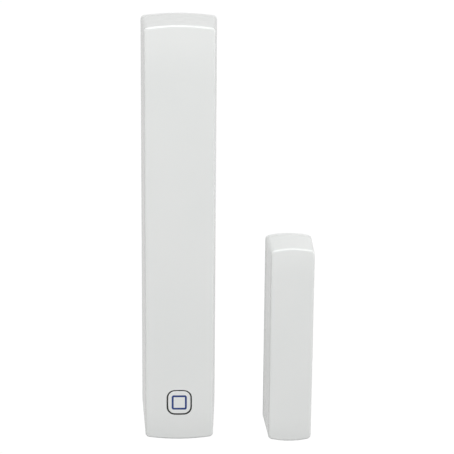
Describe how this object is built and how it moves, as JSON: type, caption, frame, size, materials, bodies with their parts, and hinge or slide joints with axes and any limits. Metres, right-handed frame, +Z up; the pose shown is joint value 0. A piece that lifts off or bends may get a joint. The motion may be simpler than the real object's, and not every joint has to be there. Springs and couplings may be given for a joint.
{
  "type": "door contact sensor",
  "caption": "Radio door contact: a tall glossy white bar with a push button clips to a wall plate, and a short magnet bar stands beside it.",
  "frame": {"origin": "centre of the tall sensor's wall face", "axes": "+Z up along the sensor's length, -Y out of the front face, +X towards the magnet unit"},
  "size_m": [0.0423, 0.025, 0.1026],
  "materials": {
    "housing_white": "high gloss, moulded",
    "plate_white": "fine satin texture",
    "button_white": "high gloss, moulded",
    "gasket_black": "matt",
    "inlay_navy": "translucent, gloss",
    "foam_tape": "closed cell foam",
    "carrier_grey": "satin",
    "cell_jacket": "printed sleeve, gloss",
    "cell_seal": "matt",
    "nickel_strip": "bright nickel plate",
    "screw_steel": "zinc plate",
    "board_green": "solder mask",
    "chip_black": "moulded epoxy",
    "lead_tin": "tin plate",
    "shield_tin": "tin plate",
    "reed_glass": "greenish clear",
    "antenna_copper": "enamelled copper",
    "capacitor_can": "drawn can",
    "capacitor_tan": "ceramic",
    "resistor_black": "glazed",
    "led_clear": "clear resin",
    "switch_black": "moulded nylon",
    "bar_magnet": "sintered ferrite"
  },
  "bodies": {
    "wall_plate": {"sensor_wall_plate": "plate_white", "sensor_wall_tape": "foam_tape"},
    "sensor_unit": {"sensor_front_cover": "housing_white", "button_gasket": "gasket_black", "battery_carrier": "carrier_grey", "contact_plates": "nickel_strip", "cell_lower": "cell_jacket", "cell_upper": "cell_jacket", "cell_seals": "cell_seal", "battery_springs": "nickel_strip", "carrier_screws": "screw_steel", "circuit_board": "board_green", "reed_switch_glass": "reed_glass", "reed_switch_blades": "lead_tin", "antenna_wire": "antenna_copper", "microcontroller": "chip_black", "microcontroller_leads": "lead_tin", "radio_shield": "shield_tin", "crystal_can": "shield_tin", "buffer_capacitor": "capacitor_can", "chip_capacitors": "capacitor_tan", "chip_resistors": "resistor_black", "status_led": "led_clear", "button_switch_body": "switch_black"},
    "button": {"button_cap": "button_white", "button_square_inlay": "inlay_navy"},
    "switch_plunger": {"button_switch_plunger": "switch_black"},
    "magnet_base": {"magnet_wall_plate": "plate_white", "magnet_wall_tape": "foam_tape", "magnet_clip": "carrier_grey", "bar_magnet": "bar_magnet", "magnet_foam_pad": "foam_tape"},
    "magnet_shell": {"magnet_cover": "housing_white"}
  },
  "joints": [
    {"name": "sensor_unclip", "type": "slide", "parent": "wall_plate", "child": "sensor_unit", "axis": [0, -1, 0], "range_m": [0, 0.03]},
    {"name": "button_press", "type": "slide", "parent": "sensor_unit", "child": "button", "axis": [0, 1, 0], "range_m": [0, 0.0004], "stiffness_N_per_m": 1500},
    {"name": "switch_press", "type": "slide", "parent": "sensor_unit", "child": "switch_plunger", "axis": [0, 1, 0], "range_m": [0, 0.0004]},
    {"name": "magnet_travel", "type": "slide", "parent": "wall_plate", "child": "magnet_base", "axis": [1, 0, 0], "range_m": [-0.01, 0.05]},
    {"name": "magnet_cover_unclip", "type": "slide", "parent": "magnet_base", "child": "magnet_shell", "axis": [0, -1, 0], "range_m": [0, 0.02]}
  ],
  "couplings": [
    {"joint": "switch_press", "follows": "button_press", "ratio": 1}
  ]
}
